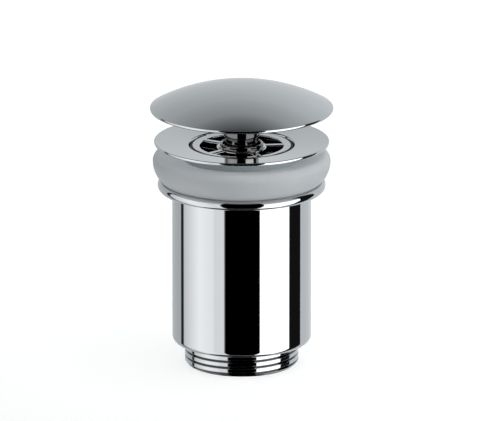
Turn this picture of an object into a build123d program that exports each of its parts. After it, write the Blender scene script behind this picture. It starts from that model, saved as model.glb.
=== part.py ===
from build123d import *
import os
from math import sqrt

# A push-open basin waste, standing on its outlet with the plug raised.
# Millimetres, +Z up, origin on the axis at the outlet's end.

# Lower body: a turned cup with a beaded collar, a threaded socket and a pipe outlet
pipe_thread_diameter = 41.91  # G 1 1/4, on the outlet and on the flange's tube
outlet_length = 8.4
outlet_wall = 2.95
outlet_chamfer = 1.1
body_length = 57.7  # from the outlet's shoulder to the underside of the collar
body_wall = 2.2
body_floor = 2.4
body_edge_radius = 2.2
body_inner_radius = 1.5
socket_wall = 4.52
socket_depth = 15.9
socket_lead = 0.6
collar_overhang = 5.33
collar_thickness = 3.8
collar_edge_radius = 1.8
collar_edge_limit = 0.47  # largest edge radius, as a share of the collar's thickness
thread_clearance = 0.1

# Sealing ring in the socket
tube_ring_section = 1.8
tube_ring_depth = 5.0  # from the collar's top face to the ring's groove
ring_groove_room = 0.1

# Basin gasket: a thick soft ring with a raised outer ridge
gasket_overhang = 1.8
gasket_base_inset = 1.4
gasket_swell_height = 7.3
gasket_corner_radius = 3.0
gasket_dish_depth = 2.2
gasket_bore_room = 0.2

# Upper body: a dished flange on a threaded tube
basin_gap = 3.5  # from the gasket's ridge to the flange's rim
flange_overhang = 11.25
flange_rim_thickness = 1.2
flange_edge_radius = 0.45
flange_dish_depth = 1.6
flange_root_thickness = 2.2
mouth_chamfer_width = 0.6
mouth_chamfer_depth = 1.0
tube_wall = 1.95
tube_length = 31.0
tube_chamfer = 1.0
seat_depth = 7.4
seat_ledge = 0.7

# Grid insert: a ring, radial arms and a hub that carry the cartridge
insert_clearance = 0.1
insert_drop = 0.15  # how far its rim lies below the flange's mouth
insert_rebate_width = 0.8
insert_rebate_depth = 1.2
insert_edge_radius = 0.2
insert_ring_width = 3.5
insert_ring_fall = 0.3
insert_ring_thickness = 1.4
insert_ring_edge = 0.3
insert_skirt_wall = 1.3
arm_count = 5
arm_width = 2.6
arm_depth = 3.0
arm_edge_radius = 0.5
arm_root = 0.6  # how far each end runs into the hub and the ring
first_arm_angle = 6.0
hub_wall = 1.3
hub_length = 6.5
hub_clearance = 0.05
hub_edge_radius = 0.8

# Plug cap: a domed shell with a boss, and a rib that holds the seal
plug_lift = 11.3  # from the flange's rim to the cap's rim, plug raised
plug_travel = 9.5  # raised to closed
plug_overpress = 1.5  # pressed past closed, to trip the latch
cap_overhang = 1.5
cap_rim_height = 1.2
cap_edge_radius = 0.35
cap_lower_edge_radius = 0.8
cap_dome_height = 8.6
cap_wall = 2.2
cap_rim_land = 1.8
boss_diameter = 13.5
boss_drop = 9.7  # from the cap's rim down to the boss's end
boss_edge_radius = 0.5
rib_diameter = 42.0
rib_wall = 2.4
rib_foot = 0.8
rib_foot_height = 0.8
seal_lip_reach = 3.0  # from the rib's wall out to the lip's edge
seal_lip_land = 0.8
seal_lip_height = 0.9
seal_height = 2.5
seal_neck_width = 1.5
seal_fit = 0.05
closing_clearance = 0.3

# Stud that joins the cap to the plunger
stud_diameter = 7.8
stud_fit = 0.1
stud_in_cap = 10.5
stud_in_plunger = 6.5

# Latch cartridge
barrel_rise = 0.7  # how far its rim stands above the flange's mouth
barrel_wall = 1.0
cup_wall = 0.95
cup_floor_thickness = 1.2
boss_clearance = 0.3
bottom_room = 0.5
barrel_edge_radius = 0.4
plunger_diameter = 12.2
plunger_clearance = 0.1
plunger_guide = 5.5
wiper_section = 1.0
wiper_height = 2.0  # from the plunger's shoulder to the wiper's groove
wiper_room = 0.03
stem_diameter = 9.2
stem_tail = 1.4
stem_chamfer = 0.6
stem_clearance = 0.15
spring_length = 19.0
spring_wire = 0.9
spring_turns = 5.5
spring_wire_sides = 8
washer_thickness = 0.8
follower_height = 3.4
end_bush_height = 1.7
snap_ring_thickness = 0.7
snap_ring_width = 1.5
snap_ring_bite = 0.4
snap_ring_opening = 5.0
barrel_tail = 0.8
stack_play = 0.1

# Cam track on the stem, and the pins that run in it
pin_diameter = 1.5
pin_clearance = 0.15
track_depth = 1.15
track_corner_room = 0.06
track_count = 2
press_turn = 60.0  # turn of the follower over a full press
latch_turn = 30.0  # turn from the bottom of the press into the latched notch

# Radii worked out from the axis
pipe_radius = pipe_thread_diameter / 2
outlet_bore_radius = pipe_radius - outlet_wall
socket_radius = pipe_radius + thread_clearance
body_radius = socket_radius + socket_wall
cavity_radius = body_radius - body_wall
collar_radius = body_radius + collar_overhang
gasket_radius = collar_radius + gasket_overhang
gasket_base_radius = collar_radius - gasket_base_inset
gasket_bore_radius = pipe_radius + gasket_bore_room
gasket_ridge_radius = gasket_radius - gasket_corner_radius
flange_radius = pipe_radius + flange_overhang
seat_radius = pipe_radius - tube_wall
tube_bore_radius = seat_radius - seat_ledge
mouth_radius = seat_radius + mouth_chamfer_width
insert_radius = seat_radius - insert_clearance
insert_skirt_radius = insert_radius - insert_skirt_wall
insert_opening_radius = insert_radius - insert_ring_width
cap_radius = flange_radius + cap_overhang
boss_radius = boss_diameter / 2
cup_bore_radius = boss_radius + boss_clearance
cup_radius = cup_bore_radius + cup_wall
hub_bore_radius = cup_radius + hub_clearance
hub_radius = hub_bore_radius + hub_wall
plunger_radius = plunger_diameter / 2
barrel_bore_radius = plunger_radius + plunger_clearance
barrel_radius = barrel_bore_radius + barrel_wall
stem_radius = stem_diameter / 2
stack_outer_radius = barrel_bore_radius - plunger_clearance
stack_inner_radius = stem_radius + stem_clearance
stud_radius = stud_diameter / 2
stud_hole_radius = stud_radius + stud_fit
pin_radius = pin_diameter / 2
rib_radius = rib_diameter / 2
seal_radius = rib_radius + seal_lip_reach
track_floor_radius = stem_radius - track_depth

# Heights worked out from the outlet's end
floor_top = outlet_length + body_floor
collar_bottom = outlet_length + body_length
collar_top = collar_bottom + collar_thickness
socket_bottom = collar_top - socket_depth
gasket_widest = collar_top + gasket_swell_height
gasket_ridge = gasket_widest + gasket_corner_radius
flange_rim_bottom = gasket_ridge + basin_gap
flange_rim_top = flange_rim_bottom + flange_rim_thickness
mouth_height = flange_rim_top - flange_dish_depth
flange_root = mouth_height - flange_root_thickness
tube_end = flange_root - tube_length
seat_shoulder = mouth_height - seat_depth
insert_top = mouth_height - insert_drop
arm_top = insert_top - insert_ring_fall
cap_rim_bottom = flange_rim_top + plug_lift
cap_rim_top = cap_rim_bottom + cap_rim_height
cap_apex = cap_rim_top + cap_dome_height
boss_end = cap_rim_bottom - boss_drop
flange_slope = flange_dish_depth / (flange_radius - mouth_radius)
flange_under_seal = mouth_height + (seal_radius - mouth_radius) * flange_slope
seal_lip_bottom = flange_under_seal + closing_clearance + plug_travel
seal_bottom = seal_lip_bottom + seal_lip_height + seal_fit
rib_bottom = seal_bottom - rib_foot_height - seal_fit
barrel_top = mouth_height + barrel_rise
cup_floor = boss_end - plug_travel - plug_overpress - bottom_room
shoulder = cup_floor - plunger_guide
washer_top = shoulder - spring_length
follower_top = washer_top - washer_thickness - stack_play
follower_middle = follower_top - follower_height / 2
bush_top = follower_top - follower_height - stack_play
snap_top = bush_top - end_bush_height
barrel_end = snap_top - snap_ring_thickness - barrel_tail
stem_end = barrel_end - stem_tail
wiper_bottom = shoulder + wiper_height


def outline(*corners):
    """Face of a closed outline of (radius, height) corners, each with an optional rounding."""
    points = [(corner[0], 0, corner[1]) for corner in corners]
    roundings = [corner[2] if len(corner) > 2 else 0 for corner in corners]
    return make_face(FilletPolyline(*points, radius=roundings, close=True))


def turned(*corners):
    """Solid of revolution about the axis."""
    return revolve(outline(*corners), Axis.Z)


def at(radius, height):
    """Point on the section's plane."""
    return (radius, 0, height)


def radial_pin(radius, inner, outer, angle, height):
    """Round pin that points outwards from the axis."""
    pin = extrude(Plane.YZ.offset(inner) * Circle(radius), outer - inner)
    return Pos(0, 0, height) * Rot(0, 0, angle) * pin


def lower_body():
    bead = min(collar_edge_radius, collar_edge_limit * collar_thickness)
    ring_top = collar_top - tube_ring_depth
    ring_bottom = ring_top - tube_ring_section - ring_groove_room
    ring_floor = socket_radius + tube_ring_section
    return turned(
        (outlet_bore_radius, 0),
        (pipe_radius - outlet_chamfer, 0),
        (pipe_radius, outlet_chamfer),
        (pipe_radius, outlet_length),
        (body_radius, outlet_length, body_edge_radius),
        (body_radius, collar_bottom),
        (collar_radius, collar_bottom, bead),
        (collar_radius, collar_top, bead),
        (socket_radius + socket_lead, collar_top),
        (socket_radius, collar_top - socket_lead),
        (socket_radius, ring_top),
        (ring_floor, ring_top),
        (ring_floor, ring_bottom),
        (socket_radius, ring_bottom),
        (socket_radius, socket_bottom),
        (cavity_radius, socket_bottom - (cavity_radius - socket_radius)),
        (cavity_radius, floor_top, body_inner_radius),
        (outlet_bore_radius, floor_top),
    )


def tube_ring():
    middle = collar_top - tube_ring_depth - (tube_ring_section + ring_groove_room) / 2
    section_radius = tube_ring_section / 2
    centre = pipe_radius + ring_groove_room / 2 + section_radius
    return Pos(0, 0, middle) * Torus(centre, section_radius)


def basin_gasket():
    dish = gasket_ridge - gasket_dish_depth
    edge = (
        Line(at(gasket_bore_radius, dish), at(gasket_bore_radius, collar_top))
        + Line(at(gasket_bore_radius, collar_top), at(gasket_base_radius, collar_top))
        + TangentArc(
            at(gasket_radius, gasket_widest), at(gasket_base_radius, collar_top), tangent=(0, 0, -1)
        )
        + TangentArc(
            at(gasket_radius, gasket_widest), at(gasket_ridge_radius, gasket_ridge), tangent=(0, 0, 1)
        )
        + TangentArc(
            at(gasket_ridge_radius, gasket_ridge), at(gasket_bore_radius, dish), tangent=(-1, 0, 0)
        )
    )
    return revolve(make_face(edge), Axis.Z)


def upper_body():
    return turned(
        (tube_bore_radius, tube_end),
        (pipe_radius - tube_chamfer, tube_end),
        (pipe_radius, tube_end + tube_chamfer),
        (pipe_radius, flange_root),
        (flange_radius, flange_rim_bottom, flange_edge_radius),
        (flange_radius, flange_rim_top, flange_edge_radius),
        (mouth_radius, mouth_height),
        (seat_radius, mouth_height - mouth_chamfer_depth),
        (seat_radius, seat_shoulder),
        (tube_bore_radius, seat_shoulder),
    )


def grid_insert():
    ring_bottom = arm_top - insert_ring_thickness
    ring = turned(
        (insert_skirt_radius, seat_shoulder),
        (insert_radius, seat_shoulder),
        (insert_radius, insert_top - insert_rebate_depth),
        (insert_radius - insert_rebate_width, insert_top - insert_rebate_depth),
        (insert_radius - insert_rebate_width, insert_top, insert_edge_radius),
        (insert_opening_radius, arm_top, insert_ring_edge),
        (insert_opening_radius, ring_bottom),
        (insert_skirt_radius, ring_bottom),
    )
    hub = turned(
        (hub_bore_radius, arm_top - hub_length),
        (hub_radius, arm_top - hub_length),
        (hub_radius, arm_top, hub_edge_radius),
        (hub_bore_radius, arm_top),
    )
    arm_start = hub_radius - arm_root
    arm_end = insert_opening_radius + arm_root
    bar = RectangleRounded(arm_width, arm_depth, arm_edge_radius)
    arm = Pos(0, 0, arm_top - arm_depth / 2) * extrude(Plane.YZ.offset(arm_start) * bar, arm_end - arm_start)
    for number in range(arm_count):
        ring += Rot(0, 0, first_arm_angle + number * 360 / arm_count) * arm
    return ring + hub


def cartridge_barrel():
    groove_radius = barrel_bore_radius + snap_ring_bite
    cup_bottom = cup_floor - cup_floor_thickness
    return turned(
        (barrel_bore_radius, barrel_end),
        (barrel_radius, barrel_end),
        (barrel_radius, cup_bottom),
        (cup_radius, cup_bottom),
        (cup_radius, barrel_top, barrel_edge_radius),
        (cup_bore_radius, barrel_top, barrel_edge_radius),
        (cup_bore_radius, cup_floor),
        (barrel_bore_radius, cup_floor),
        (barrel_bore_radius, snap_top),
        (groove_radius, snap_top),
        (groove_radius, snap_top - snap_ring_thickness),
        (barrel_bore_radius, snap_top - snap_ring_thickness),
    )


def stack_ring(top, height):
    """Plain ring that fills the barrel around the stem."""
    return turned(
        (stack_inner_radius, top - height),
        (stack_outer_radius, top - height),
        (stack_outer_radius, top),
        (stack_inner_radius, top),
    )


def follower_pins():
    inner = track_floor_radius + pin_clearance
    return [
        radial_pin(pin_radius, inner, stack_outer_radius, number * 360 / track_count, follower_middle)
        for number in range(track_count)
    ]


def follower_ring():
    ring = stack_ring(follower_top, follower_height)
    for pin in follower_pins():
        ring -= pin
    return ring


def snap_ring():
    outer = barrel_bore_radius + snap_ring_bite - stack_play / 2
    inner = outer - snap_ring_width
    bottom = snap_top - snap_ring_thickness
    ring = turned((inner, bottom), (outer, bottom), (outer, snap_top), (inner, snap_top))
    slot = Box(outer * 2, snap_ring_opening, collar_top, align=(Align.MIN, Align.CENTER, Align.CENTER))
    return ring - Pos(0, 0, bottom) * slot


def return_spring():
    middle = (stem_radius + barrel_bore_radius) / 2
    rise = spring_length - spring_wire
    path = Helix(rise / spring_turns, rise, middle)
    wire = RegularPolygon(spring_wire / 2, spring_wire_sides)
    section = Plane(origin=path @ 0, x_dir=(1, 0, 0), z_dir=path % 0) * wire
    coil = sweep(section, path, is_frenet=True)
    return Pos(0, 0, washer_top + spring_wire / 2) * coil


def track_run(start, end):
    """Slot along the stem's surface between two (turn, height) corners of the cam track."""
    low, high = sorted((start, end), key=lambda corner: corner[1])
    turn = high[0] - low[0]
    rise = high[1] - low[1]
    path = Helix(rise * 360 / abs(turn), rise, stem_radius, lefthand=turn < 0)
    reach = track_depth + stem_clearance
    slot = Pos((stem_clearance - track_depth) / 2, 0) * Rectangle(reach, pin_diameter + 2 * pin_clearance)
    section = Plane(origin=path @ 0, x_dir=(1, 0, 0), z_dir=path % 0) * slot
    return Pos(0, 0, low[1]) * Rot(0, 0, low[0]) * sweep(section, path, is_frenet=True)


def cam_track():
    """One loop of the track: down to the bottom of the press, back into the notch, down again and home."""
    press = plug_travel + plug_overpress
    corner_radius = pin_radius + pin_clearance + track_corner_room
    corner_floor = track_floor_radius - track_corner_room
    turns = (0, press_turn, press_turn + latch_turn, press_turn + 2 * latch_turn, 2 * (press_turn + latch_turn))
    rises = (0, press, plug_travel, press, 0)
    corners = [(turn, follower_middle + rise) for turn, rise in zip(turns, rises)]
    runs = [track_run(start, end) for start, end in zip(corners, corners[1:])]
    outer = stem_radius + stem_clearance
    rounds = [radial_pin(corner_radius, corner_floor, outer, turn, height) for turn, height in corners[1:]]
    return runs + rounds


def plunger():
    wiper_floor = plunger_radius - wiper_section
    wiper_top = wiper_bottom + wiper_section + 2 * wiper_room
    hole_bottom = boss_end - stud_in_plunger - stud_fit
    body = turned(
        (0, stem_end),
        (stem_radius - stem_chamfer, stem_end),
        (stem_radius, stem_end + stem_chamfer),
        (stem_radius, shoulder),
        (plunger_radius, shoulder),
        (plunger_radius, wiper_bottom),
        (wiper_floor, wiper_bottom),
        (wiper_floor, wiper_top),
        (plunger_radius, wiper_top),
        (plunger_radius, boss_end),
        (stud_hole_radius, boss_end),
        (stud_hole_radius, hole_bottom),
        (0, hole_bottom),
    )
    for number in range(track_count):
        for cut in cam_track():
            body -= Rot(0, 0, number * 360 / track_count) * cut
    return body


def plunger_ring():
    section_radius = wiper_section / 2
    centre = plunger_radius - section_radius + wiper_room
    return Pos(0, 0, wiper_bottom + wiper_room + section_radius) * Torus(centre, section_radius)


def cap_stud():
    stud = Cylinder(
        stud_radius, stud_in_cap + stud_in_plunger, align=(Align.CENTER, Align.CENTER, Align.MIN)
    )
    return Pos(0, 0, boss_end - stud_in_plunger) * stud


def dome(radius, bottom, edge, apex):
    """Solid under a spherical crown, with a straight wall down to its bottom."""
    wall = Polyline(at(0, apex), at(0, bottom), at(radius, bottom), at(radius, edge))
    crown = TangentArc(at(0, apex), at(radius, edge), tangent=(1, 0, 0))
    return revolve(make_face(wall + crown), Axis.Z)


def cap():
    shell = dome(cap_radius, cap_rim_bottom, cap_rim_top, cap_apex)
    rim = shell.edges().sort_by_distance(at(cap_radius, cap_rim_top))[0]
    shell = fillet(rim, cap_edge_radius)
    circles = shell.edges().filter_by(GeomType.CIRCLE)
    lower_rim = circles.sort_by_distance(at(cap_radius, cap_rim_bottom))[0]
    shell = fillet(lower_rim, cap_lower_edge_radius)
    hollow_radius = cap_radius - cap_rim_land
    crown_radius = (cap_radius**2 + cap_dome_height**2) / (2 * cap_dome_height)
    crown_centre = cap_apex - crown_radius
    hollow_edge = crown_centre + sqrt((crown_radius - cap_wall) ** 2 - hollow_radius**2)
    hollow = dome(hollow_radius, cap_rim_bottom, hollow_edge, cap_apex - cap_wall)
    inside = cap_apex - cap_wall / 2
    rib_inner = rib_radius - rib_wall
    rib = turned(
        (rib_inner, rib_bottom),
        (rib_radius + rib_foot, rib_bottom),
        (rib_radius + rib_foot, rib_bottom + rib_foot_height),
        (rib_radius, rib_bottom + rib_foot_height),
        (rib_radius, cap_rim_bottom),
        (rib_inner, cap_rim_bottom),
    )
    rib_root = turned(
        (rib_inner, cap_rim_bottom), (rib_radius, cap_rim_bottom), (rib_radius, inside), (rib_inner, inside)
    )
    boss = turned(
        (0, boss_end), (boss_radius, boss_end, boss_edge_radius), (boss_radius, inside), (0, inside)
    )
    hole = Cylinder(
        stud_hole_radius, stud_in_cap + stud_fit, align=(Align.CENTER, Align.CENTER, Align.MIN)
    )
    return shell - hollow + (rib_root & shell) + rib + boss - Pos(0, 0, boss_end) * hole


def cap_seal():
    inner = rib_radius + seal_fit
    neck = inner + seal_neck_width
    return turned(
        (inner, seal_bottom),
        (inner, seal_bottom + seal_height),
        (neck, seal_bottom + seal_height),
        (seal_radius, seal_lip_bottom + seal_lip_height),
        (seal_radius, seal_lip_bottom),
        (seal_radius - seal_lip_land, seal_lip_bottom),
        (neck, seal_bottom),
    )


nodes = {
    "lower_body": lower_body(),
    "tube_ring": tube_ring(),
    "basin_gasket": basin_gasket(),
    "upper_body": upper_body(),
    "grid_insert": grid_insert(),
    "cartridge_barrel": cartridge_barrel(),
    "thrust_washer": stack_ring(washer_top, washer_thickness),
    "follower_ring": follower_ring(),
    "follower_pins": Compound(children=follower_pins()),
    "end_bush": stack_ring(bush_top, end_bush_height),
    "snap_ring": snap_ring(),
    "return_spring": return_spring(),
    "plunger": plunger(),
    "plunger_ring": plunger_ring(),
    "cap_stud": cap_stud(),
    "cap": cap(),
    "cap_seal": cap_seal(),
}

os.makedirs("parts", exist_ok=True)
for name, solid in nodes.items():
    export_step(solid, f"parts/{name}.step")
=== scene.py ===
# %% [markdown]
# # A push-open basin waste in polished chrome
# A basin waste is the drain fitting of a wash basin: a domed plug on a sprung latch, a dished flange
# with a grid in its mouth, a thick rubber gasket, and a turned body that ends in a pipe thread.
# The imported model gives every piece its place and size. This lesson turns smooth meshes for the
# pieces that show, gives each one its real finish, and lights them as a small chrome studio.

# %% Load the frame
from math import asin, cos, hypot, pi, radians, sin, sqrt, tan

import bmesh
import bpy
from mathutils import Matrix, Vector


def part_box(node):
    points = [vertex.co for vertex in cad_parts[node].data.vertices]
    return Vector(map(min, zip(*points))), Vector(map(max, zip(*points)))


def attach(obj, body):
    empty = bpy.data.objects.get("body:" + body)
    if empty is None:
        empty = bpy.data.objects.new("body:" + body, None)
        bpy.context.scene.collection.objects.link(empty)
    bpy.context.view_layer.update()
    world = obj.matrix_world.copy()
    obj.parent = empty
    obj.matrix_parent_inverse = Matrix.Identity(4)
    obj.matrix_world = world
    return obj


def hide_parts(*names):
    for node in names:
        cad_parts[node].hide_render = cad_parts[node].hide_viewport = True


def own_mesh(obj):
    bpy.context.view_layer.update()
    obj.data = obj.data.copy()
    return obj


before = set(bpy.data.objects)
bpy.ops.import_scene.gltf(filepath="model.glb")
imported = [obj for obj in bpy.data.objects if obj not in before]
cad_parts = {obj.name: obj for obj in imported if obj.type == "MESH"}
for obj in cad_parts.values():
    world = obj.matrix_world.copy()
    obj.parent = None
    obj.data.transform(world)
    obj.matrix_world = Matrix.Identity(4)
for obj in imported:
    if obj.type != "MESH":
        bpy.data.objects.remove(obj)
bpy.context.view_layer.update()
scene = bpy.context.scene
mm = 0.001

# %% [markdown]
# The camera comes first, because every later choice is judged through it. The photograph was taken
# with a long lens from a little above: the ellipses of the flange and the cap are as flat as a view
# from about 16 degrees makes them, and the two ends of the body are equally wide. A long lens at a
# distance of 4 m gives both.

# %% Set the camera
view_elevation = radians(15.9)
view_distance = 4.0
view_width = 0.1767
aim = Vector((-0.0006, 0, 0.0579))

camera_data = bpy.data.cameras.new("camera")
camera_data.lens = camera_data.sensor_width * view_distance / view_width
camera = bpy.data.objects.new("camera", camera_data)
camera.location = aim + view_distance * Vector((0, -cos(view_elevation), sin(view_elevation)))
camera.rotation_euler = (pi / 2 - view_elevation, 0, 0)
scene.collection.objects.link(camera)
scene.camera = camera
scene.view_settings.view_transform = "Standard"
print("lens", round(camera_data.lens), "mm")

# %% [markdown]
# Materials are node trees, and a tree is easier to read when one function adds any node: it sets the
# node's properties, fills its inputs, and links the inputs that are given another node's output.
# Colours are written as the eye knows them, in sRGB hex, and turned to the linear values that the
# renderer works with.

# %% Helpers for node trees and colours


def add_node(tree, kind, inputs=None, **settings):
    """Add a node; an input is given a value, or an output socket to link to."""
    node = tree.nodes.new(kind)
    for name, value in settings.items():
        setattr(node, name, value)
    for name, value in (inputs or {}).items():
        if isinstance(value, bpy.types.NodeSocket):
            tree.links.new(value, node.inputs[name])
        else:
            node.inputs[name].default_value = value
    return node


def linear(hex_colour):
    """Linear colour of an sRGB hex value."""
    shown = [int(hex_colour[at:at + 2], 16) / 255 for at in (0, 2, 4)]
    return [c / 12.92 if c <= 0.04045 else ((c + 0.055) / 1.055) ** 2.4 for c in shown] + [1]


def set_ramp(node, stops, tint=(1, 1, 1)):
    """Give a colour ramp its (position, linear brightness) stops, all of one tint."""
    elements = node.color_ramp.elements
    elements.remove(elements[1])
    for position, glow in stops[1:]:
        elements.new(position).color = [glow * part for part in tint] + [1]
    elements[0].position, first_glow = stops[0]
    elements[0].color = [first_glow * part for part in tint] + [1]


# A Mix node has a pair of inputs for each kind of value; these are the places of the colours.
colour_a = 6
colour_b = 7
colour_result = 2
print("white is", linear("FFFFFF")[:3])

# %% [markdown]
# Chrome has almost no colour of its own: it shows the room. In the photograph the room is a pale tent
# that is open, and so dark, overhead. The world is that tent. Its cool brightness falls with height,
# there is nothing but shade straight below, and the right of its back wall is brighter than the left.
# The camera sees it as plain white, and matte surfaces get less of it than mirrors do, so that their
# light comes from the lamps.

# %% Light the world as a pale tent
tent_stops = [
    (-1.0, 0.02), (-0.91, 0.03), (-0.86, 0.72), (0.35, 0.72), (0.62, 0.63), (0.83, 0.43), (0.92, 0.19),
    (0.96, 0.07), (1.0, 0.02),
]
tent_tint = (0.97, 1.01, 1.03)
tent_left = 0.87
tent_right = 1.1
tent_middle = 0.3
tent_on_matte = 0.3

world = bpy.data.worlds.new("pale_tent")
world.use_nodes = True
scene.world = world
tree = world.node_tree
background = tree.nodes["Background"]
direction = add_node(tree, "ShaderNodeTexCoord").outputs["Generated"]
split = add_node(tree, "ShaderNodeSeparateXYZ", {"Vector": direction})
height = add_node(tree, "ShaderNodeMapRange", {"Value": split.outputs["Z"], "From Min": -1.0})
tent = add_node(tree, "ShaderNodeValToRGB", {"Fac": height.outputs["Result"]})
set_ramp(tent, [((height_stop + 1) / 2, glow) for height_stop, glow in tent_stops], tent_tint)
side = add_node(
    tree,
    "ShaderNodeMapRange",
    {
        "Value": split.outputs["X"], "From Min": -tent_middle, "From Max": tent_middle, "To Min": tent_left,
        "To Max": tent_right,
    },
)
rays = add_node(tree, "ShaderNodeLightPath")
matte = add_node(
    tree,
    "ShaderNodeMapRange",
    {"Value": rays.outputs["Is Diffuse Ray"], "To Min": 1.0, "To Max": tent_on_matte},
)
level = add_node(
    tree, "ShaderNodeMath", {0: side.outputs["Result"], 1: matte.outputs["Result"]}, operation="MULTIPLY"
)
shade = add_node(
    tree, "ShaderNodeVectorMath", {0: tent.outputs["Color"], "Scale": level.outputs[0]}, operation="SCALE"
)
seen = add_node(
    tree,
    "ShaderNodeMix",
    {"Factor": rays.outputs["Is Camera Ray"], colour_a: shade.outputs[0], colour_b: (1, 1, 1, 1)},
    data_type="RGBA",
)
tree.links.new(seen.outputs[colour_result], background.inputs["Color"])
print("world", world.name)

# %% [markdown]
# Polished chrome needs contrast to read as metal, so a photographer stands black flags and white cards
# around it. In the photograph the upright walls show such cards as straight bands, right down to the
# outlet. One paper drum around the set carries all of them: its brightness changes with the direction
# as seen from the object, from the camera's side at 0 round to 180 degrees behind. Higher up the white
# cards end and the paper thins out into the tent, so that the dome keeps its form when it is seen from
# behind. The drum is there for reflections alone, so neither the camera nor the shadows know of it.

# %% Stand a banded drum around the set
drum_radius = 1.0
drum_low = -1.7
drum_high = 1.5
drum_start = -120
drum_end = 114
drum_strength = 2.4
fade_low = 0.15
fade_high = 0.45
fade_level = 0.6
thin_from = 0.85
drum_bands = [
    (-120, 0.03), (-111.5, 0.03), (-111, 0.86), (-74, 1.45), (-47, 1.3), (-46, 1.15), (-28.5, 1.15),
    (-28, 0.0), (30, 0.0), (30.5, 2.3), (85, 2.3), (85.5, 0.01), (114, 0.01),
]

drum_mesh = bmesh.new()
start_turn = Matrix.Rotation(radians(drum_start), 3, "Z")
drum_edge = [drum_mesh.verts.new(start_turn @ Vector((0, -drum_radius, z))) for z in (drum_low, drum_high)]
drum_mesh.edges.new(drum_edge)
bmesh.ops.spin(
    drum_mesh, geom=drum_mesh.verts[:] + drum_mesh.edges[:], cent=(0, 0, 0), axis=(0, 0, 1),
    dvec=(0, 0, 0), angle=radians(drum_end - drum_start), steps=drum_end - drum_start, use_merge=False,
    use_normal_flip=False, use_duplicate=False,
)
drum_data = bpy.data.meshes.new("banded_drum")
drum_mesh.to_mesh(drum_data)
drum_mesh.free()
drum = bpy.data.objects.new("banded_drum", drum_data)
scene.collection.objects.link(drum)
drum.visible_camera = False
drum.visible_diffuse = False
drum.visible_shadow = False

drum_paper = bpy.data.materials.new("banded_paper")
drum_paper.use_nodes = True
drum_data.materials.append(drum_paper)
tree = drum_paper.node_tree
tree.nodes.clear()
place = add_node(tree, "ShaderNodeTexCoord").outputs["Object"]
split = add_node(tree, "ShaderNodeSeparateXYZ", {"Vector": place})
toward = add_node(tree, "ShaderNodeMath", {0: split.outputs["Y"], 1: -1.0}, operation="MULTIPLY")
azimuth = add_node(tree, "ShaderNodeMath", {0: split.outputs["X"], 1: toward.outputs[0]}, operation="ARCTAN2")
along = add_node(tree, "ShaderNodeMapRange", {"Value": azimuth.outputs[0], "From Min": -pi, "From Max": pi})
bands = add_node(tree, "ShaderNodeValToRGB", {"Fac": along.outputs["Result"]})
set_ramp(bands, [((degree + 180) / 360, glow / drum_strength) for degree, glow in drum_bands])
glow = add_node(tree, "ShaderNodeMath", {0: bands.outputs["Color"], 1: drum_strength}, operation="MULTIPLY")
fade = add_node(
    tree,
    "ShaderNodeMapRange",
    {
        "Value": split.outputs["Z"], "From Min": fade_low, "From Max": fade_high, "To Min": drum_strength,
        "To Max": fade_level,
    },
)
shown = add_node(tree, "ShaderNodeMath", {0: glow.outputs[0], 1: fade.outputs["Result"]}, operation="MINIMUM")
paint = add_node(tree, "ShaderNodeEmission", {"Strength": shown.outputs[0]})
clear = add_node(tree, "ShaderNodeBsdfTransparent")
thinning = add_node(
    tree, "ShaderNodeMapRange", {"Value": split.outputs["Z"], "From Min": thin_from, "From Max": drum_high}
)
paper = add_node(
    tree, "ShaderNodeMixShader", {0: thinning.outputs["Result"], 1: paint.outputs[0], 2: clear.outputs[0]}
)
add_node(tree, "ShaderNodeOutputMaterial", {"Surface": paper.outputs[0]})
print("drum with", len(drum_bands), "band edges")

# %% [markdown]
# The floor is a sheet of white card. It catches the soft shadow of the body, and a little of its own
# light, for the camera alone, makes up for the lamps' falloff and keeps it paper white beyond that.
# Chrome doesn't see it, because the photograph's bands run down to the foot without a floor in them.

# %% Lay the floor
floor_radius = 3.0
floor_sides = 96
glow_near = 0.14
glow_far = 0.45
glow_start = -0.1
glow_end = 0.55

floor_mesh = bmesh.new()
bmesh.ops.create_circle(floor_mesh, cap_ends=True, radius=floor_radius, segments=floor_sides)
floor_data = bpy.data.meshes.new("floor")
floor_mesh.to_mesh(floor_data)
floor_mesh.free()
floor = bpy.data.objects.new("floor", floor_data)
scene.collection.objects.link(floor)
floor.visible_glossy = False

card = bpy.data.materials.new("white_card")
card.use_nodes = True
floor_data.materials.append(card)
tree = card.node_tree
shader = tree.nodes["Principled BSDF"]
shader.inputs["Base Color"].default_value = linear("F6F6F6")
shader.inputs["Roughness"].default_value = 0.9
shader.inputs["Specular IOR Level"].default_value = 0.1
shader.inputs["Emission Color"].default_value = (1, 1, 1, 1)
rays = add_node(tree, "ShaderNodeLightPath")
place = add_node(tree, "ShaderNodeTexCoord").outputs["Object"]
split = add_node(tree, "ShaderNodeSeparateXYZ", {"Vector": place})
spread = add_node(
    tree,
    "ShaderNodeMapRange",
    {
        "Value": split.outputs["Y"], "From Min": glow_start, "From Max": glow_end, "To Min": glow_near,
        "To Max": glow_far,
    },
)
glow = add_node(
    tree,
    "ShaderNodeMath",
    {0: rays.outputs["Is Camera Ray"], 1: spread.outputs["Result"]},
    operation="MULTIPLY",
)
tree.links.new(glow.outputs[0], shader.inputs["Emission Strength"])
print("floor", floor_radius, "m in radius")

# %% [markdown]
# The rubber and the floor take their light from large soft lamps. The one overhead casts the shadow on
# the floor. Four more fill from the top, the right, the left and the front, least from the front. They
# cast no shadow, so that the rubber under the flange's rim is as evenly light as in the photograph.
# Chrome doesn't see the lamps themselves, so they can be set for the rubber without spots on the metal.

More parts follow.
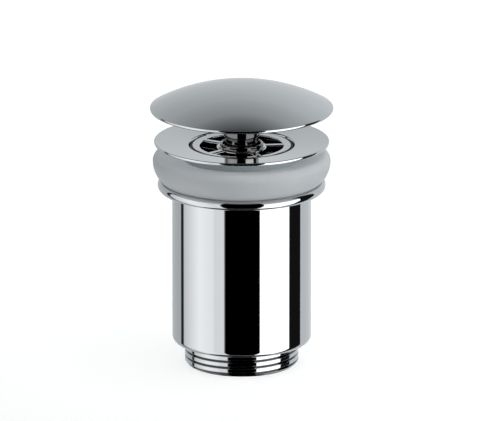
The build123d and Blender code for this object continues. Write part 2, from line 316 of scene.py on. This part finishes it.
# %% Hang the lamps
lamp_list = [
    ("overhead_lamp", (0.1, -0.1, 1.7), 1.4, 5.0, True),
    ("top_lamp", (0.45, -0.2, 1.6), 0.6, 14.0, False),
    ("right_lamp", (1.35, -0.5, 0.3), 0.5, 8.0, False),
    ("left_lamp", (-1.3, -0.6, 0.3), 0.5, 4.0, False),
    ("front_lamp", (0.05, -1.5, 0.4), 0.5, 2.2, False),
]
for name, place, size, power, casts_shadow in lamp_list:
    lamp_data = bpy.data.lights.new(name, "AREA")
    lamp_data.shape = "DISK"
    lamp_data.size = size
    lamp_data.energy = power
    lamp_data.use_shadow = casts_shadow
    lamp = bpy.data.objects.new(name, lamp_data)
    lamp.location = place
    lamp.rotation_euler = (aim - Vector(place)).to_track_quat("-Z", "Y").to_euler()
    lamp.visible_glossy = False
    lamp.visible_camera = False
    scene.collection.objects.link(lamp)
    print(name, power, "W")

# %% [markdown]
# Almost every piece of a waste is turned on a lathe: half of its section, swept once round the axis.
# Blender has the same move. A wire outline is drawn in the XZ plane, its sharp corners are rounded by
# a vertex bevel, and a full spin about Z makes the piece. Arcs in an outline are spins too, of a single
# vertex about the arc's centre.

# %% Helpers that draw and turn an outline
spin_steps = 256
corner_steps = 6
merge_distance = 0.0001 * mm


def draw(bm, start, corners, rounds=()):
    """Add edges from a vertex through (radius, height) corners; a third number puts a corner in rounds."""
    for radius, height, *rounding in corners:
        point = bm.verts.new((radius * mm, 0, height * mm))
        if start:
            bm.edges.new((start, point))
        for size in rounding:
            rounds.append((point, size))
        start = point
    return start


def draw_arc(bm, start, centre, sweep, steps):
    """Add an arc from a vertex about a (radius, height) centre; a positive sweep turns upwards."""
    made = bmesh.ops.spin(
        bm, geom=[start], cent=(centre[0] * mm, 0, centre[1] * mm), axis=(0, -1, 0), dvec=(0, 0, 0),
        angle=sweep, steps=steps, use_merge=False, use_normal_flip=False, use_duplicate=False,
    )
    return made["geom_last"][0]


def arc_radius(run, rise):
    """Radius of an arc that leaves a tangent and bends away by rise over run."""
    return (run**2 + rise**2) / (2 * rise)


def round_corners(bm, rounds):
    """Bevel the marked corners of a wire to their roundings."""
    for point, size in rounds:
        before, after = [edge.other_vert(point).co - point.co for edge in point.link_edges]
        reach = size * mm / tan(before.angle(after) / 2)
        bmesh.ops.bevel(
            bm, geom=[point], offset=reach, offset_type="OFFSET", segments=corner_steps, profile=0.5,
            affect="VERTICES", material=-1,
        )


def draw_closed(bm, corners):
    """Draw a closed outline through (radius, height) corners, and round those that have a third number."""
    rounds = []
    start = draw(bm, None, corners[:1], rounds)
    end = draw(bm, start, corners[1:], rounds)
    bm.edges.new((end, start))
    round_corners(bm, rounds)


def spin_full(bm):
    """Spin all that is in the mesh once round the axis, and close its seam and poles."""
    bmesh.ops.spin(
        bm, geom=bm.verts[:] + bm.edges[:], cent=(0, 0, 0), axis=(0, 0, 1), dvec=(0, 0, 0), angle=2 * pi,
        steps=spin_steps, use_merge=True, use_normal_flip=False, use_duplicate=False,
    )
    bmesh.ops.remove_doubles(bm, verts=bm.verts[:], dist=merge_distance)
    bmesh.ops.recalc_face_normals(bm, faces=bm.faces[:])


print("outlines spin in", spin_steps, "steps")

# %% [markdown]
# Smooth shading alone would bend the reflections beside every rounded edge. Marking the true corners as
# sharp and weighting each normal by the size of its faces keeps the broad walls straight, so that the
# bands in the chrome stay straight too.

# %% Helper that finishes a piece
sharp_angle = radians(35)


def finish_piece(name, bm, material, body, node):
    """Make the mesh an object that shades cleanly, rides on its body and stands for its CAD node, if any."""
    data = bpy.data.meshes.new(name)
    bm.to_mesh(data)
    bm.free()
    data.materials.append(material)
    data.shade_smooth()
    data.set_sharp_from_angle(angle=sharp_angle)
    piece = bpy.data.objects.new(name, data)
    scene.collection.objects.link(piece)
    weighted = piece.modifiers.new("weighted_normals", "WEIGHTED_NORMAL")
    weighted.keep_sharp = True
    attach(piece, body)
    if node:
        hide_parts(node)
    print(name, len(data.polygons), "faces")
    return piece


# %% [markdown]
# No real surface is one even colour. All the finishes here share a plan: a colour and a roughness that
# drift between two values by noise of some millimetres, under a finer grain that bends the surface by a
# few micrometres. What tells chrome from rubber is only the values.

# %% Helper that makes a finish


def finish(name, dark, light, patch, rough, grain, depth, metallic):
    """Material of two drifting colours and roughnesses under a fine grain; sizes are in mm."""
    material = bpy.data.materials.new(name)
    material.use_nodes = True
    tree = material.node_tree
    shader = tree.nodes["Principled BSDF"]
    shader.inputs["Metallic"].default_value = metallic
    place = add_node(tree, "ShaderNodeTexCoord").outputs["Object"]
    drift = add_node(tree, "ShaderNodeTexNoise", {"Vector": place, "Scale": 1 / (patch * mm), "Detail": 4.0})
    colour = add_node(
        tree,
        "ShaderNodeMix",
        {"Factor": drift.outputs["Fac"], colour_a: linear(dark), colour_b: linear(light)},
        data_type="RGBA",
    )
    tree.links.new(colour.outputs[colour_result], shader.inputs["Base Color"])
    polish = add_node(
        tree, "ShaderNodeMapRange", {"Value": drift.outputs["Fac"], "To Min": rough[0], "To Max": rough[1]}
    )
    tree.links.new(polish.outputs["Result"], shader.inputs["Roughness"])
    grains = add_node(tree, "ShaderNodeTexNoise", {"Vector": place, "Scale": 1 / (grain * mm), "Detail": 2.0})
    bump = add_node(
        tree, "ShaderNodeBump", {"Height": grains.outputs["Fac"], "Strength": 0.1, "Distance": depth * mm}
    )
    tree.links.new(bump.outputs["Normal"], shader.inputs["Normal"])
    print("made", name)
    return material


# %% [markdown]
# Bright chrome is a mirror with a faint cool tint, polished a little more in one place than in another.
# Dull nickel, on the pieces of the latch, is darker and less sharp. Drawn steel and turned brass are
# satin metals.

# %% Metals
# Chrome gives hard, clean bands, with a trace of waviness in the plate.
chrome_look = ("C2C5C7", "C6C8CA", 9.0, (0.015, 0.05), 4.0, 0.02, 1.0)
chrome = finish("polished_chrome_plate", *chrome_look)
# Nickel sets the latch off as a darker metal below the bright boss.
nickel = finish("dull_nickel_plate", "858582", "8E8E8B", 6.0, (0.03, 0.08), 3.0, 0.02, 1.0)
# Drawn steel gives the spring and rings a broad soft shine.
steel = finish("bright_drawn_steel", "A6A5A3", "B6B5B2", 3.0, (0.22, 0.34), 0.3, 0.02, 1.0)
# Turned brass gives the stud a yellow satin shine.
brass = finish("turned_brass", "BE9A52", "CCA95F", 4.0, (0.2, 0.3), 0.2, 0.02, 1.0)

# %% [markdown]
# The gasket is pale grey moulded rubber with a satin skin, and its lip is the same rubber painted darker
# as the shade below the flange. The seals are black rubber, and the small rings of the latch are white
# acetal, a slippery moulded plastic.

# %% Rubbers and plastic
# Grey rubber gives the gasket a soft, even wall.
grey_rubber = finish("satin_grey_rubber", "A9ADB0", "B1B5B8", 7.0, (0.42, 0.56), 0.5, 0.05, 0.0)
# The same grey rubber, painted darker, gives the gasket's lip the shade below the flange.
painted_shade_rubber = finish("satin_grey_rubber_painted_shade", "8F9698", "959C9E", 7.0, (0.42, 0.56), 0.5, 0.05, 0.0)
# Black rubber gives the seals a dull, deep edge between bright parts.
black_rubber = finish("black_moulded_rubber", "191A1B", "232425", 5.0, (0.45, 0.6), 0.4, 0.04, 0.0)
# Acetal gives the latch's rings a clean waxy white.
acetal = finish("white_acetal", "E4E2DA", "EDEBE4", 5.0, (0.35, 0.45), 0.5, 0.02, 0.0)

# %% [markdown]
# The plug's cap is a spun brass dome, plated bright. Its crown is one arc from the axis to the rim, and
# inside it has a ring-shaped rib for the seal and a round boss that reaches down to the latch. The whole
# section fits in one outline, so one spin makes it, walls and all.

# %% Turn the plug's cap
cap_low, cap_high = (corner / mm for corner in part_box("cap"))
cap_radius = cap_high.x
cap_apex = cap_high.z
cap_rise = 8.6
cap_rim_height = 1.2
cap_edge = 0.35
cap_lower_edge = 0.8
cap_wall = 2.2
cap_land = 1.8
boss_radius = 6.75
boss_end = cap_low.z
boss_edge = 0.5
stud_hole_radius = 4.0
stud_hole_depth = 10.6
rib_radius = 21.0
rib_wall = 2.4
rib_foot = 0.8
rib_edge = 0.3
foot_edge = 0.2
seal_drop = 0.1
rib_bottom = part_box("cap_seal")[0].z / mm + seal_drop
crown_steps = 80
lining_steps = 24

crown_radius = arc_radius(cap_radius, cap_rise)
crown_centre = cap_apex - crown_radius
lining_radius = crown_radius - cap_wall
cap_rim_top = cap_apex - cap_rise
cap_rim_bottom = cap_rim_top - cap_rim_height


def lining_height(radius):
    """Height of the dome's underside at a radius."""
    return crown_centre + sqrt(lining_radius**2 - radius**2)


def lining_arc(bm, start, outer, inner):
    """Arc of the dome's underside, from an outer radius in to an inner one."""
    sweep = asin(outer / lining_radius) - asin(inner / lining_radius)
    return draw_arc(bm, start, (0, crown_centre), sweep, lining_steps)


bm = bmesh.new()
rounds = []
apex = draw(bm, None, [(0, cap_apex)])
rim = draw_arc(bm, apex, (0, crown_centre), -asin(cap_radius / crown_radius), crown_steps)
rounds.append((rim, cap_edge))
hollow_radius = cap_radius - cap_land
edge = draw(
    bm, rim,
    [
        (cap_radius, cap_rim_bottom, cap_lower_edge),
        (hollow_radius, cap_rim_bottom, foot_edge),
        (hollow_radius, lining_height(hollow_radius)),
    ],
    rounds,
)
edge = lining_arc(bm, edge, hollow_radius, rib_radius)
rib_inner = rib_radius - rib_wall
edge = draw(
    bm, edge,
    [
        (rib_radius, rib_bottom + rib_foot),
        (rib_radius + rib_foot, rib_bottom + rib_foot, foot_edge),
        (rib_radius + rib_foot, rib_bottom, foot_edge),
        (rib_inner, rib_bottom, rib_edge),
        (rib_inner, lining_height(rib_inner)),
    ],
    rounds,
)
edge = lining_arc(bm, edge, rib_inner, boss_radius)
stud_hole_top = boss_end + stud_hole_depth
draw(
    bm, edge,
    [
        (boss_radius, boss_end, boss_edge),
        (stud_hole_radius, boss_end),
        (stud_hole_radius, stud_hole_top),
        (0, stud_hole_top),
    ],
    rounds,
)
round_corners(bm, rounds)
spin_full(bm)
finish_piece("plug_cap", bm, chrome, "plug", "cap")

# %% [markdown]
# The gasket is the thick ring that the basin sits on. Its wall swells from the collar to a widest line,
# rolls over into a soft ridge, and dishes inwards to the tube. Those are three arcs, each leaving the
# last along its tangent, with a straight foot and bore to close the section.

# %% Turn the gasket
gasket_low, gasket_high = (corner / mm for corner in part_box("basin_gasket"))
gasket_radius = gasket_high.x
gasket_foot = gasket_low.z
gasket_ridge = gasket_high.z
gasket_foot_radius = 29.505
gasket_bore = 21.155
gasket_roll = 3.0
gasket_dish = 2.2
swell_steps = 24
roll_steps = 20
dish_steps = 16

gasket_widest = gasket_ridge - gasket_roll
swell_rise = gasket_radius - gasket_foot_radius
swell_run = gasket_widest - gasket_foot
swell_radius = arc_radius(swell_run, swell_rise)
dish_run = gasket_radius - gasket_roll - gasket_bore
dish_radius = arc_radius(dish_run, gasket_dish)
swell_sweep = asin(swell_run / swell_radius)
dish_sweep = asin(dish_run / dish_radius)
roll_centre = gasket_radius - gasket_roll

bm = bmesh.new()
bore_top = draw(bm, None, [(gasket_bore, gasket_ridge - gasket_dish)])
foot = draw(bm, bore_top, [(gasket_bore, gasket_foot), (gasket_foot_radius, gasket_foot)])
widest = draw_arc(bm, foot, (gasket_radius - swell_radius, gasket_widest), swell_sweep, swell_steps)
ridge = draw_arc(bm, widest, (roll_centre, gasket_widest), pi / 2, roll_steps)
dish = draw_arc(bm, ridge, (roll_centre, gasket_ridge - dish_radius), dish_sweep, dish_steps)
bmesh.ops.pointmerge(bm, verts=[dish, bore_top], merge_co=bore_top.co)
spin_full(bm)
finish_piece("gasket_ring", bm, grey_rubber, "waste", "basin_gasket")

# %% [markdown]
# A thin lip of rubber stands up from the dish and hugs the tube, to keep water out of the gap between
# them. Its rubber is painted darker than the gasket's, as the shade that lies on it below the flange.

# %% Turn the gasket's lip
lip_radius = 21.75
lip_top = 80.9
lip_sink = 0.5
lip_rounding = 0.25
lip_foot = gasket_ridge - gasket_dish - lip_sink

bm = bmesh.new()
draw_closed(
    bm,
    [
        (gasket_bore, lip_foot),
        (lip_radius, lip_foot),
        (lip_radius, lip_top, lip_rounding),
        (gasket_bore, lip_top),
    ],
)
spin_full(bm)
finish_piece("gasket_lip", bm, painted_shade_rubber, "waste", None)

# %% [markdown]
# The flange lies in the bottom of the basin and its tube goes down through the hole. Its top is a
# shallow dish with a thin rim. The mouth is stepped to seat the grid, and a fine chamfer leads into it.

# %% Turn the flange and its tube
flange_low, flange_high = (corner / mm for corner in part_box("upper_body"))
flange_radius = flange_high.x
flange_top = flange_high.z
tube_end = flange_low.z
pipe_radius = 20.955
tube_chamfer = 1.0
tube_bore = 18.305
flange_root = 81.1
rim_thickness = 1.2
rim_edge = 0.3
rim_lower_edge = 0.75
root_fillet = 0.4
mouth_edge = 0.3
mouth_radius = 19.605
mouth_height = 83.3
seat_radius = 19.005
seat_top = 82.3
seat_bottom = 75.9

bm = bmesh.new()
draw_closed(
    bm,
    [
        (tube_bore, tube_end),
        (pipe_radius - tube_chamfer, tube_end),
        (pipe_radius, tube_end + tube_chamfer),
        (pipe_radius, flange_root, root_fillet),
        (flange_radius, flange_top - rim_thickness, rim_lower_edge),
        (flange_radius, flange_top, rim_edge),
        (mouth_radius, mouth_height, mouth_edge),
        (seat_radius, seat_top),
        (seat_radius, seat_bottom),
        (tube_bore, seat_bottom),
    ],
)
spin_full(bm)
finish_piece("flange_and_tube", bm, chrome, "waste", "upper_body")

# %% [markdown]
# The grid that sits in the mouth was cast in one piece: a flat ring with a skirt, five bars and a hub.
# A rebate round the ring leaves a gap between it and the flange. The ring and the hub are spins. A bar
# is a cube, stretched to its length, bevelled along it and turned to its place round the axis.

# %% Build the grid
grid_low, grid_high = (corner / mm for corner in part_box("grid_insert"))
grid_radius = grid_high.x
grid_top = grid_high.z
rebate_width = 0.8
rebate_depth = 1.2
rebate_edge = 0.2
ring_opening = 15.405
ring_fall = 0.3
ring_thickness = 1.4
ring_edge = 0.3
skirt_wall = 1.3
hub_bore = 8.05
hub_radius = 9.35
hub_length = 6.5
hub_edge = 0.8
bar_count = 5
bar_width = 2.6
bar_depth = 3.0
bar_edge = 0.5
bar_root = 0.6
first_bar_angle = radians(6)

bar_top = grid_top - ring_fall
ring_bottom = bar_top - ring_thickness
skirt_radius = grid_radius - skirt_wall
ring_outline = [
    (skirt_radius, grid_low.z),
    (grid_radius, grid_low.z),
    (grid_radius, grid_top - rebate_depth),
    (grid_radius - rebate_width, grid_top - rebate_depth),
    (grid_radius - rebate_width, grid_top, rebate_edge),
    (ring_opening, bar_top, ring_edge),
    (ring_opening, ring_bottom),
    (skirt_radius, ring_bottom),
]
hub_outline = [
    (hub_bore, bar_top - hub_length),
    (hub_radius, bar_top - hub_length),
    (hub_radius, bar_top, hub_edge),
    (hub_bore, bar_top),
]
bm = bmesh.new()
draw_closed(bm, ring_outline)
draw_closed(bm, hub_outline)
spin_full(bm)

bar_start = hub_radius - bar_root
bar_length = ring_opening + bar_root - bar_start
bar_middle = Vector((bar_start + bar_length / 2, 0, bar_top - bar_depth / 2)) * mm
for number in range(bar_count):
    cube = bmesh.ops.create_cube(bm, size=1)["verts"]
    bmesh.ops.scale(bm, vec=Vector((bar_length, bar_width, bar_depth)) * mm, verts=cube)
    cube_edges = {edge for vert in cube for edge in vert.link_edges}
    long_edges = [edge for edge in cube_edges if abs((edge.verts[0].co - edge.verts[1].co).x) > mm]
    sides = bmesh.ops.bevel(
        bm, geom=long_edges, offset=bar_edge * mm, offset_type="OFFSET", segments=corner_steps, profile=0.5,
        affect="EDGES", material=-1,
    )
    bar = list({vert for face in sides["faces"] for vert in face.verts})
    bmesh.ops.translate(bm, vec=bar_middle, verts=bar)
    turn = Matrix.Rotation(first_bar_angle + number * 2 * pi / bar_count, 3, "Z")
    bmesh.ops.rotate(bm, cent=(0, 0, 0), matrix=turn, verts=bar)
finish_piece("mouth_grid", bm, chrome, "waste", "grid_insert")

# %% [markdown]
# A black ring of rubber is laid in the rebate as painted shade: it is what makes the line round the grid
# so dark.

# %% Lay a black ring in the rebate as painted shade
ring_gap = 0.03
ring_height = 0.55
ring_rounding = 0.1
rebate_foot = grid_top - rebate_depth + ring_gap
rebate_inner = grid_radius - rebate_width + ring_gap
rebate_outer = seat_radius - ring_gap

bm = bmesh.new()
draw_closed(
    bm,
    [
        (rebate_inner, rebate_foot),
        (rebate_outer, rebate_foot),
        (rebate_outer, rebate_foot + ring_height, ring_rounding),
        (rebate_inner, rebate_foot + ring_height, ring_rounding),
    ],
)
spin_full(bm)
finish_piece("rebate_shade_ring", bm, black_rubber, "waste", None)

# %% [markdown]
# The body is a turned cup: a plain wall between a beaded collar, which carries the gasket, and a round
# shoulder, below which the outlet has its pipe thread. The outline is drawn open at the outlet's outer
# wall, because that wall isn't a plain spin.

# %% Turn the body
body_low, body_high = (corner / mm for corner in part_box("lower_body"))
collar_radius = body_high.x
collar_top = body_high.z
outlet_end = body_low.z
collar_bottom = 66.1
collar_bead = 1.786
collar_fillet = 0.15
body_radius = 25.575
body_edge = 2.2
outlet_length = 8.4
outlet_bore = 18.005
outlet_chamfer = 1.1
socket_radius = 21.055
socket_lead = 0.6
socket_bottom = 54.0
ring_groove = (63.0, 64.9, 22.855)
cavity_radius = 23.375
cavity_floor = 10.8
cavity_edge = 1.5
thread_neck = 20.2

bm = bmesh.new()
rounds = []
groove_bottom, groove_top, groove_floor = ring_groove
body_outline = [
    (thread_neck, outlet_length),
    (body_radius, outlet_length, body_edge),
    (body_radius, collar_bottom, collar_fillet),
    (collar_radius, collar_bottom, collar_bead),
    (collar_radius, collar_top, collar_bead),
    (socket_radius + socket_lead, collar_top),
    (socket_radius, collar_top - socket_lead),
    (socket_radius, groove_top),
    (groove_floor, groove_top),
    (groove_floor, groove_bottom),
    (socket_radius, groove_bottom),
    (socket_radius, socket_bottom),
    (cavity_radius, socket_bottom - cavity_radius + socket_radius),
    (cavity_radius, cavity_floor, cavity_edge),
    (outlet_bore, cavity_floor),
    (outlet_bore, outlet_end),
    (pipe_radius - outlet_chamfer, outlet_end),
]
draw(bm, None, body_outline, rounds)
round_corners(bm, rounds)
spin_full(bm)
print("body wall", len(bm.faces), "faces")

# %% [markdown]
# The outlet has a G 1 1/4 pipe thread with a pitch of 2.309 mm. A spin that also climbs by one pitch in
# its turn makes a true helix: the outline of several ridges goes round once, and the end of each ridge
# meets the start of the next. The rows that run past the outlet are flattened on to its two ends. The
# end's chamfer and the neck under the shoulder are pressed in as limits on the radius, and merging then
# closes the wall.

# %% Cut the thread
thread_pitch = 2.309
groove_width = 1.0
groove_depth = 0.95
neck_length = 0.3
crest_rows = 6
thread_rounding = 0.12
ridges_below = 1
spare_ridges = 3
weld_distance = 0.001 * mm

plain_verts = set(bm.verts)
rounds = []
ridge_count = int(outlet_length / thread_pitch) + spare_ridges
groove_root = pipe_radius - groove_depth
crest_width = thread_pitch - groove_width
thread_outline = []
for number in range(ridge_count):
    height = (number - ridges_below) * thread_pitch
    thread_outline.append((pipe_radius, height, thread_rounding))
    thread_outline += [(pipe_radius, height + crest_width * row / crest_rows) for row in range(1, crest_rows)]
    thread_outline.append((pipe_radius, height + crest_width, thread_rounding))
    thread_outline.append((groove_root, height + crest_width + groove_width / 2, thread_rounding))
draw(bm, None, thread_outline, rounds)
round_corners(bm, rounds[1:-1])
wire = [vert for vert in bm.verts if vert not in plain_verts]
wire_edges = list({edge for vert in wire for edge in vert.link_edges})
bmesh.ops.spin(
    bm, geom=wire + wire_edges, cent=(0, 0, 0), axis=(0, 0, 1), dvec=(0, 0, thread_pitch * mm / spin_steps),
    angle=2 * pi, steps=spin_steps, use_merge=False, use_normal_flip=False, use_duplicate=False,
)
neck_start = (outlet_length - neck_length) * mm
for vert in [vert for vert in bm.verts if vert not in plain_verts]:
    vert.co.z = min(max(vert.co.z, outlet_end * mm), outlet_length * mm)
    radius = hypot(vert.co.x, vert.co.y)
    in_neck = vert.co.z > neck_start
    limit = thread_neck * mm if in_neck else (pipe_radius - outlet_chamfer) * mm + vert.co.z
    if in_neck or radius > limit:
        vert.co.x *= limit / radius
        vert.co.y *= limit / radius
bmesh.ops.remove_doubles(bm, verts=bm.verts[:], dist=weld_distance)
bmesh.ops.dissolve_degenerate(bm, edges=bm.edges[:], dist=merge_distance)
bmesh.ops.recalc_face_normals(bm, faces=bm.faces[:])
open_edges = [edge for edge in bm.edges if len(edge.link_faces) != 2]
print("thread of", thread_pitch, "mm pitch;", len(open_edges), "open edges")

# %% [markdown]
# The roots of a thread and the bore lie in shade, and that shade is painted into the body's chrome. Its
# colour is scaled by the distance from the axis: from full brightness just below the crests down to a
# dark painted shade in the roots and in the bore. Above the outlet nothing changes.

# %% Paint shade into the thread's roots and finish the body
root_shade = 0.3
shade_start = 0.08
shade_end = 0.4

# Painted shade gives the thread dark lines between its bright crests, and darkens the bore.
thread_chrome = finish("chrome_with_painted_root_shade", *chrome_look)
tree = thread_chrome.node_tree
shader = tree.nodes["Principled BSDF"]
plate = shader.inputs["Base Color"].links[0].from_socket
place = add_node(tree, "ShaderNodeTexCoord").outputs["Object"]
flat = add_node(tree, "ShaderNodeVectorMath", {0: place, 1: (1, 1, 0)}, operation="MULTIPLY")
radius = add_node(tree, "ShaderNodeVectorMath", {0: flat.outputs["Vector"]}, operation="LENGTH")
# Painted shade: the plate's colour falls to root_shade in the thread's roots and in the bore.
reach = add_node(
    tree,
    "ShaderNodeMapRange",
    {
        "Value": radius.outputs["Value"], "From Min": (pipe_radius - shade_end) * mm,
        "From Max": (pipe_radius - shade_start) * mm, "To Min": root_shade,
    },
)
shaded = add_node(
    tree, "ShaderNodeVectorMath", {0: plate, "Scale": reach.outputs["Result"]}, operation="SCALE"
)
tree.links.new(shaded.outputs["Vector"], shader.inputs["Base Color"])
finish_piece("body_and_outlet", bm, thread_chrome, "waste", "lower_body")

# %% [markdown]
# The latch's barrel stands in the hub: a slim tube that opens into a cup at the top, where the plug's
# boss sinks when the plug is closed. A groove near its end holds the snap ring. All of it is turned.

# %% Turn the barrel
barrel_low, barrel_high = (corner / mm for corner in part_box("cartridge_barrel"))
barrel_radius = 7.2
barrel_bore = 6.2
cup_radius = barrel_high.x
cup_bore = 7.05
cup_depth = 9.0
cup_floor_thickness = 1.2
cup_edge = 0.4
snap_low, snap_high = (corner.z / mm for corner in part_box("snap_ring"))
snap_groove = 6.6

cup_floor = barrel_high.z - cup_depth
cup_bottom = cup_floor - cup_floor_thickness
bm = bmesh.new()
draw_closed(
    bm,
    [
        (barrel_bore, barrel_low.z),
        (barrel_radius, barrel_low.z),
        (barrel_radius, cup_bottom),
        (cup_radius, cup_bottom),
        (cup_radius, barrel_high.z, cup_edge),
        (cup_bore, barrel_high.z, cup_edge),
        (cup_bore, cup_floor),
        (barrel_bore, cup_floor),
        (barrel_bore, snap_high),
        (snap_groove, snap_high),
        (snap_groove, snap_low),
        (barrel_bore, snap_low),
    ],
)
spin_full(bm)
finish_piece("latch_barrel", bm, nickel, "waste", "cartridge_barrel")

# %% [markdown]
# Under the cap a black lip seal is stretched over the rib. It meets the flange when the plug is down,
# and is the dark line below the cap's middle in the photograph.

# %% Turn the plug's seal
seal_low, seal_high = (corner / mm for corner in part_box("cap_seal"))
seal_radius = seal_high.x
seal_clearance = 0.05
seal_wall = 1.5
seal_height = 2.5
seal_edge = 0.2
lip_edge = 0.15
lip_height = 0.9
lip_land = 0.8

seal_inner = rib_radius + seal_clearance
seal_neck = seal_inner + seal_wall
seal_foot = seal_high.z - seal_height
bm = bmesh.new()
draw_closed(
    bm,
    [
        (seal_inner, seal_foot),
        (seal_inner, seal_high.z),
        (seal_neck, seal_high.z, seal_edge),
        (seal_radius, seal_low.z + lip_height, lip_edge),
        (seal_radius, seal_low.z, lip_edge),
        (seal_radius - lip_land, seal_low.z, lip_edge),
        (seal_neck, seal_foot),
    ],
)
spin_full(bm)
finish_piece("lip_seal", bm, black_rubber, "plug", "cap_seal")

# %% [markdown]
# The plunger carries the cam track that makes the plug latch on one push and rise on the next. The CAD
# model has that track cut exactly, so its mesh is taken over: its split corners are merged and it is
# shaded smooth, and the track stays as it was cut.

# %% Take over the plunger
bm = bmesh.new()
plunger_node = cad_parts["plunger"]
bm.from_mesh(plunger_node.data)
bm.transform(plunger_node.matrix_world)
bmesh.ops.remove_doubles(bm, verts=bm.verts[:], dist=weld_distance)
bmesh.ops.recalc_face_normals(bm, faces=bm.faces[:])
finish_piece("cam_plunger", bm, nickel, "plug", "plunger")

# %% [markdown]
# The return spring is wound from round wire. A circle that climbs as it spins about the axis winds it.
# When the plug is pressed the spring shortens to half its length, down to the washer that it stands on.

# %% Wind the return spring
spring_low, spring_high = (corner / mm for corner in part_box("return_spring"))
wire_radius = 0.45
wire_sides = 16
spring_turns = 5.5
steps_per_turn = 64

coil_radius = spring_high.x - wire_radius
spring_steps = int(spring_turns * steps_per_turn)
climb = (spring_high.z - spring_low.z - 2 * wire_radius) / spring_steps
bm = bmesh.new()
stand = Matrix.Rotation(pi / 2, 4, "X")
first = Matrix.Translation(Vector((coil_radius, 0, spring_low.z + wire_radius)) * mm)
bmesh.ops.create_circle(
    bm, cap_ends=False, radius=wire_radius * mm, segments=wire_sides, matrix=first @ stand
)
bmesh.ops.spin(
    bm, geom=bm.verts[:] + bm.edges[:], cent=(0, 0, 0), axis=(0, 0, 1), dvec=(0, 0, climb * mm),
    angle=spring_turns * 2 * pi, steps=spring_steps, use_merge=False, use_normal_flip=False,
    use_duplicate=False,
)
bmesh.ops.holes_fill(bm, edges=bm.edges[:], sides=0)
bmesh.ops.recalc_face_normals(bm, faces=bm.faces[:])
spring = finish_piece("coil_spring", bm, steel, "waste", "return_spring")
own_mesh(spring)

# %% [markdown]
# The small pieces inside the latch need no new shape. They keep their CAD meshes and get their finish:
# black rubber for the two O-rings, steel for the washer, the snap ring and the pins, acetal for the ring
# that turns with the cam and the bush below it, and brass for the stud that joins cap and plunger.

# %% Paint the pieces that stay as they are
kept_finishes = {
    "tube_ring": black_rubber,
    "plunger_ring": black_rubber,
    "thrust_washer": steel,
    "snap_ring": steel,
    "follower_pins": steel,
    "follower_ring": acetal,
    "end_bush": acetal,
    "cap_stud": brass,
}
for node_name, material in kept_finishes.items():
    node_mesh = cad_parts[node_name].data
    node_mesh.materials.clear()
    node_mesh.materials.append(material)
print("painted", ", ".join(kept_finishes))
